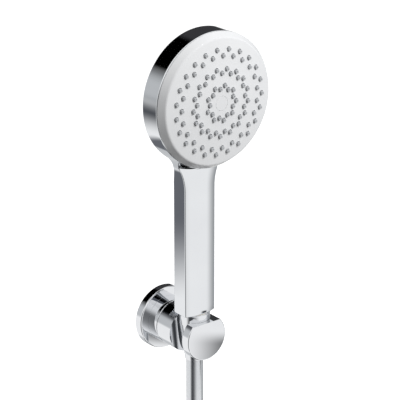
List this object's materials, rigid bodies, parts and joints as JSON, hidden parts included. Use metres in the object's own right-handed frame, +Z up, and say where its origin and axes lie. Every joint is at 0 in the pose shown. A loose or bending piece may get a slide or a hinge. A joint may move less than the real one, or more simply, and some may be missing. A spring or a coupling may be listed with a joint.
{
  "type": "handheld shower head",
  "caption": "Round-head hand shower with a flat-sided handle, standing in a swivelling wall holder with its smooth hose coiled below.",
  "frame": {"origin": "centre of the wall flange on the wall plane, on the axis of the holder's arm", "axes": "+Y points into the wall, the holder's arm stands out along -Y, +Z is up along the handle and the hose"},
  "size_m": [0.1707, 0.0761, 0.5219],
  "materials": {
    "chrome": "mirror chrome on brass",
    "chrome_shell": "mirror chrome on ABS",
    "zinc": "cast zinc",
    "steel": "plain steel",
    "brass": "turned brass",
    "hose": "smooth silver PVC",
    "nylon": "moulded",
    "regulator": "moulded",
    "face_white": "satin gloss",
    "silicone": "soft matt",
    "seal_rubber": "matt"
  },
  "bodies": {
    "wall_bracket": {"wall_plate": "zinc", "flange_cover": "chrome", "arm_stub": "chrome", "grub_screw": "steel"},
    "holder": {"holder_body": "chrome", "pivot_bolt": "steel", "spring_washer": "steel", "friction_washer": "nylon", "swivel_washer": "nylon"},
    "hose": {"hose_fitting": "brass", "hose_tube": "hose", "hose_coil": "hose", "hose_tail": "hose", "coil_tie": "nylon", "end_fitting": "brass"},
    "handset": {"cone_nut": "chrome", "hose_washer": "seal_rubber", "housing": "chrome_shell", "inlet_nipple": "nylon", "inlet_filter": "steel", "flow_regulator": "regulator", "water_tube": "nylon", "tube_seals": "seal_rubber", "spray_chamber": "nylon", "chamber_screws": "steel", "chamber_seal": "seal_rubber", "face_plate": "face_white", "nozzle_mat": "silicone", "face_screw": "steel", "screw_cap": "face_white"},
    "end_connector": {"end_nut": "chrome", "end_washer": "seal_rubber"}
  },
  "joints": [
    {"name": "holder_tilt", "type": "hinge", "parent": "wall_bracket", "child": "holder", "pos_m": [0, 0, 0], "axis": [0, 1, 0], "range_deg": [-30, 30]},
    {"name": "lift_out", "type": "slide", "parent": "holder", "child": "hose", "axis": [0, 0, 1], "range_m": [0, 0.05]},
    {"name": "handset_swivel", "type": "hinge", "parent": "hose", "child": "handset", "pos_m": [0, -0.0421, 0], "axis": [0, 0, 1], "range_deg": [-45, 45]},
    {"name": "end_nut_spin", "type": "hinge", "parent": "hose", "child": "end_connector", "pos_m": [-0.078, -0.0145, -0.25], "axis": [0, 0, 1], "continuous": true}
  ]
}
